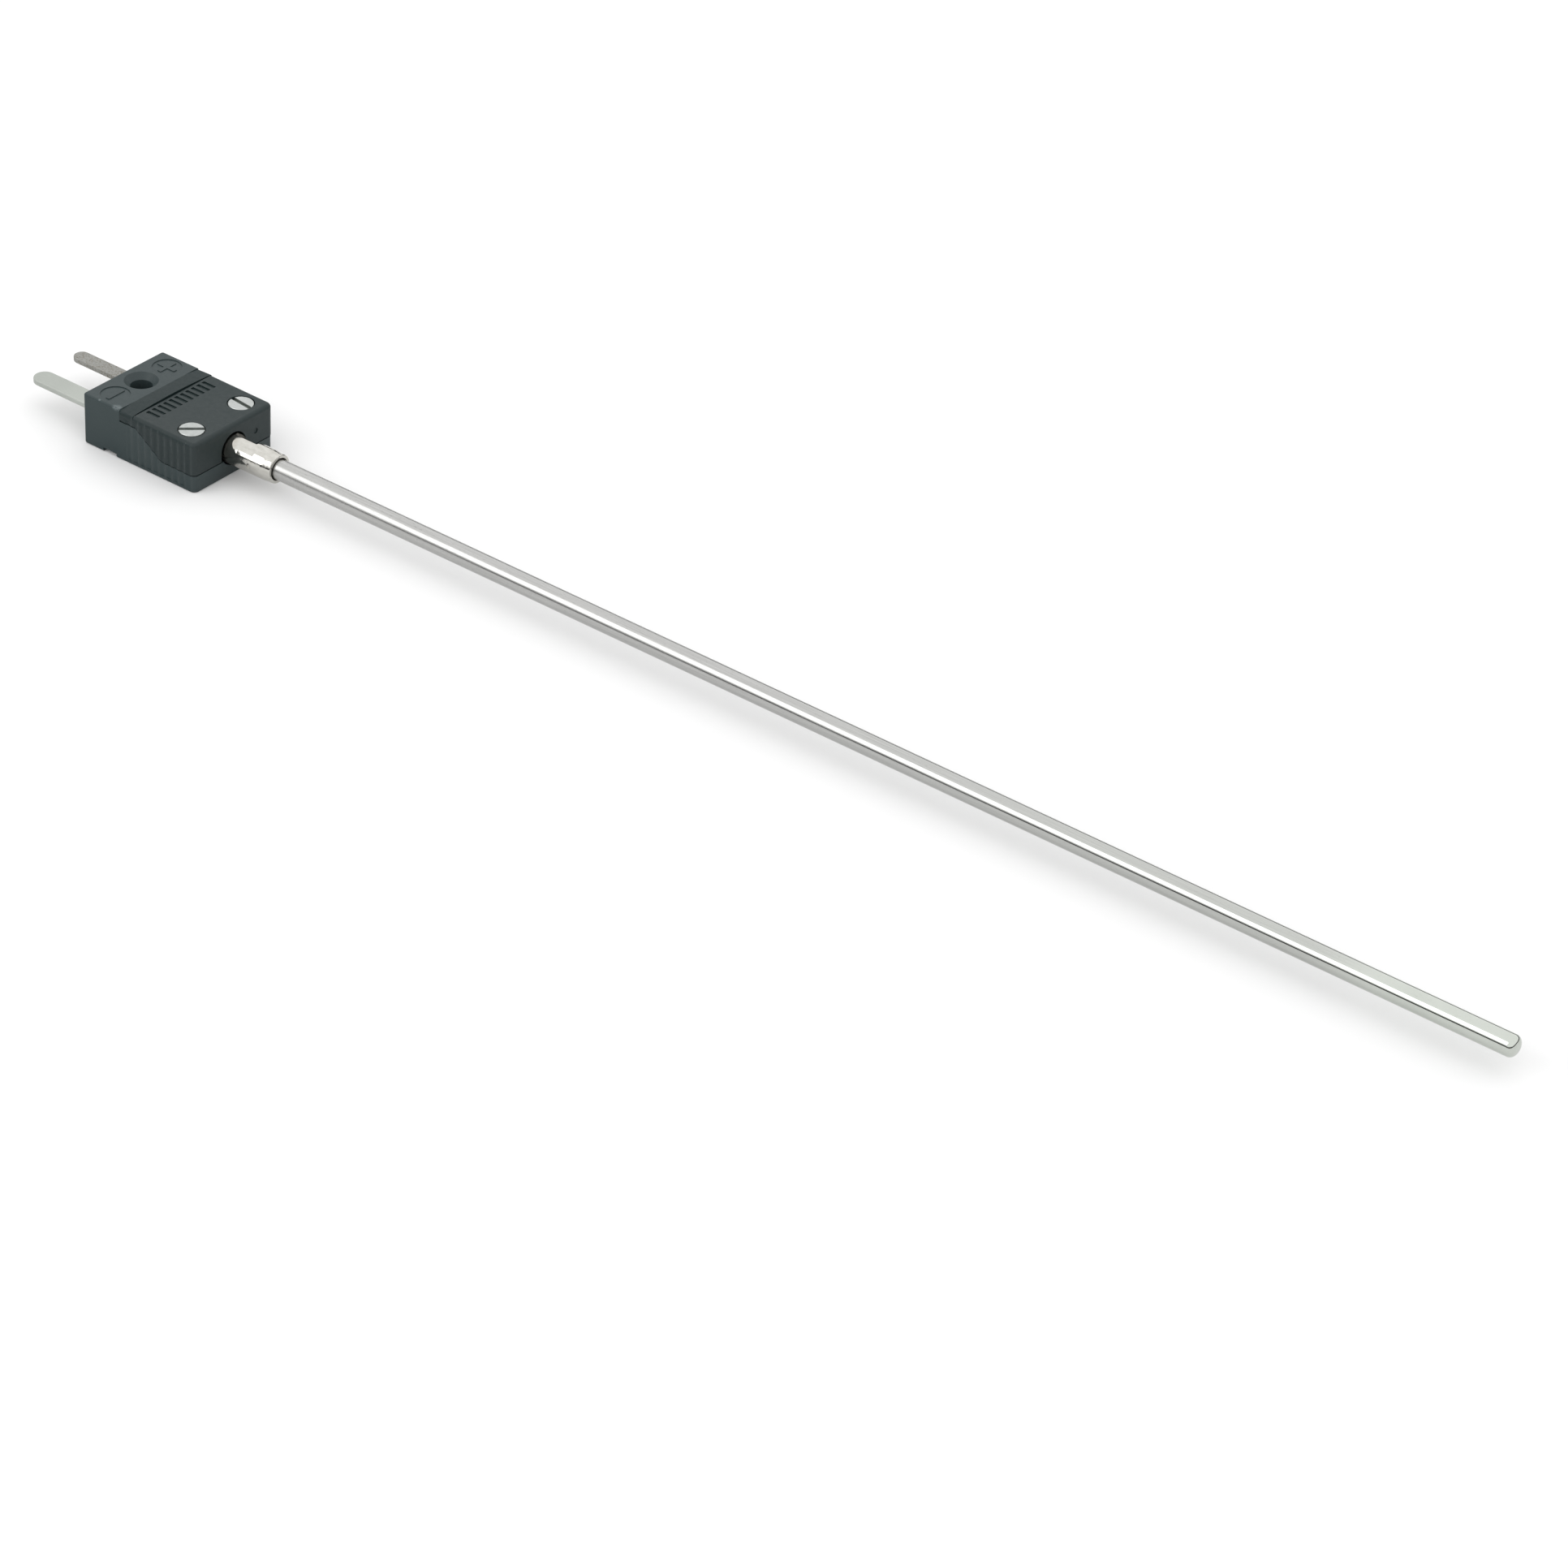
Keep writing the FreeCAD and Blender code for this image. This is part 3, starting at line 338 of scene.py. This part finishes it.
base_plastic = charcoal_plastic("charcoal_plastic_base", 1.40, 1.33, 0.36, 0.038)
cover_plastic = charcoal_plastic("charcoal_plastic_cover", 0.55, 0.25, 0.33, 0.047, RIDGE_FOOT)
steel = drawn_stainless()
# the ferrule is darker and browner towards its plug end
nickel = metal("nickel_plate", rgb(0.58, 0.57, 0.535), rgb(0.48, 0.47, 0.435), (0.08, 0.20),
               (900, 1500, 1500), 0.45, dents=0.35,
               drift=(rgb(0.34, 0.30, 0.25), X, FERRULE_DARK_END, 0.7))
ZINC = (rgb(0.50, 0.52, 0.51), rgb(0.40, 0.42, 0.41), (0.28, 0.45), (1500, 1500, 1500), 0.2)
zinc = metal("zinc_plate", *ZINC)
# painted shade: the cover screws' slot walls are painted dark and greenish above the slot
# floor
screw_zinc = metal("zinc_plate_cover_screw", *ZINC, drift_stop=SLOT_FLOOR,
                   drift=(rgb(0.07, 0.085, 0.07), Z, SLOT_WALL_SHADE, 0.9))
brass = metal("turned_brass", rgb(0.56, 0.41, 0.19), rgb(0.47, 0.34, 0.15), (0.25, 0.35),
              (3000, 3000, 3000))
# painted light: the negative blade is painted lighter towards its root at the blade face,
# standing in for light reaching its inner end
constantan = metal("constantan", rgb(0.40, 0.42, 0.39), rgb(0.36, 0.38, 0.35), (0.42, 0.55),
                   (900, 5000, 5000), 0.12, metallic=0.55,
                   drift=(rgb(0.48, 0.505, 0.47), X, BLADE_ROOT_LIGHT, 0.9))
iron = metal("iron", rgb(0.315, 0.315, 0.295), rgb(0.23, 0.23, 0.215), (0.40, 0.55),
             (2600, 2600, 2600), 0.25, metallic=0.6,
             stain=(rgb(0.12, 0.095, 0.06), 4200, 0.52, 0.66))
oxide = sleeve_plastic("packed_oxide", rgb(0.70, 0.69, 0.65), rgb(0.80, 0.79, 0.75), 0.8)
resin = sleeve_plastic("seal_resin", rgb(0.05, 0.035, 0.02), rgb(0.08, 0.06, 0.04), 0.3)
sleeving = sleeve_plastic("white_sleeving", rgb(0.72, 0.72, 0.68), rgb(0.80, 0.80, 0.77), 0.5)

LOOKS = {
    "base_shell": base_plastic, "cover_shell": cover_plastic,
    "blade_positive": iron, "blade_negative": constantan,
    "crimp_ferrule": nickel, "probe_sheath": steel, "tip_cap": steel,
    "wire_positive": iron, "wire_negative": constantan, "hot_junction": constantan,
    "mineral_insulation": oxide, "end_seal": resin,
    "wire_sleeve_positive": sleeving, "wire_sleeve_negative": sleeving,
}
for hand in ("left", "right"):
    LOOKS[f"cover_screw_{hand}"] = screw_zinc
    LOOKS[f"threaded_insert_{hand}"] = brass
for pole in ("positive", "negative"):
    LOOKS[f"terminal_screw_{pole}"] = zinc
    LOOKS[f"clamp_washer_{pole}"] = zinc
    LOOKS[f"terminal_nut_{pole}"] = brass

for name, look in LOOKS.items():
    item = nodes[name]
    item.data.materials.clear()
    item.data.materials.append(look)

# -------------------------------------------------------------------- stage
FLOOR_SIZE = 6.0
FLOOR_GAP = 0.00002
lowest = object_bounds()[0][Z]
bpy.ops.mesh.primitive_plane_add(size=FLOOR_SIZE, location=(0.1, 0, lowest - FLOOR_GAP))
floor = bpy.context.object
floor.name = "floor"
g = Graph("pale_floor")
g.put(g.shader.inputs["Base Color"], rgb(0.80, 0.80, 0.80))
g.shader.inputs["Roughness"].default_value = 0.9
floor.data.materials.append(g.material)


def area_light(name, at, aim, power, width, height):
    """A soft rectangular lamp that looks from one point at another."""
    data = bpy.data.lights.new(name, "AREA")
    data.shape = "RECTANGLE"
    data.size = width
    data.size_y = height
    data.energy = power
    item = bpy.data.objects.new(name, data)
    item.location = at
    item.rotation_euler = (Vector(aim) - Vector(at)).to_track_quat("-Z", "Y").to_euler()
    bpy.context.scene.collection.objects.link(item)


area_light("softbox", at=(-0.52, -0.95, 0.80), aim=(0.1, 0, 0), power=3.7, width=0.95,
           height=0.7)

WORLD_STRENGTH = 1.3
# (height from straight down at 0 to straight up at 1, brightness)
WORLD_STOPS = ((0.0, 0.04), (0.16, 0.04), (0.25, 1.0), (1.0, 1.0))


def studio_world():
    """An even pale surround with a darker band low down, as in a room round a light tent."""
    world = bpy.data.worlds.new("studio")
    world.use_nodes = True
    tree = world.node_tree
    background = tree.nodes["Background"]
    place = tree.nodes.new("ShaderNodeTexCoord")
    split = tree.nodes.new("ShaderNodeSeparateXYZ")
    ramp = tree.nodes.new("ShaderNodeValToRGB")
    tree.links.new(place.outputs["Generated"], split.inputs[0])
    tree.links.new(split.outputs[Z], ramp.inputs[0])
    marks = ramp.color_ramp.elements
    while len(marks) < len(WORLD_STOPS):
        marks.new(0.5)
    for mark, (height, level) in zip(marks, WORLD_STOPS):
        mark.position = height
        mark.color = (level, level, level, 1)
    tree.links.new(ramp.outputs[0], background.inputs[0])
    background.inputs[1].default_value = WORLD_STRENGTH
    bpy.context.scene.world = world


studio_world()
bpy.context.scene.view_settings.view_transform = "Standard"

# ------------------------------------------------------------------- camera
AZIMUTH, ELEVATION, ROLL = (math.radians(v) for v in (35.758, 34.118, 3.498))
CAMERA_AT = Vector((0.4465, -0.4557, 0.36845))
FOCAL_LENGTH = 118.96
back = Vector((math.sin(AZIMUTH) * math.cos(ELEVATION),
               -math.cos(AZIMUTH) * math.cos(ELEVATION),
               math.sin(ELEVATION)))
right = Vector((math.cos(AZIMUTH), math.sin(AZIMUTH), 0))
up = back.cross(right)
cam_x = right * math.cos(ROLL) + up * math.sin(ROLL)
cam_y = up * math.cos(ROLL) - right * math.sin(ROLL)
turn = Matrix((cam_x, cam_y, back)).transposed().to_4x4()
lens = bpy.data.cameras.new("photo_camera")
lens.lens = FOCAL_LENGTH
lens.sensor_width = 36.0
lens.clip_start = 0.01
lens.clip_end = 20
camera = bpy.data.objects.new("photo_camera", lens)
camera.matrix_world = Matrix.Translation(CAMERA_AT) @ turn
bpy.context.scene.collection.objects.link(camera)
bpy.context.scene.camera = camera
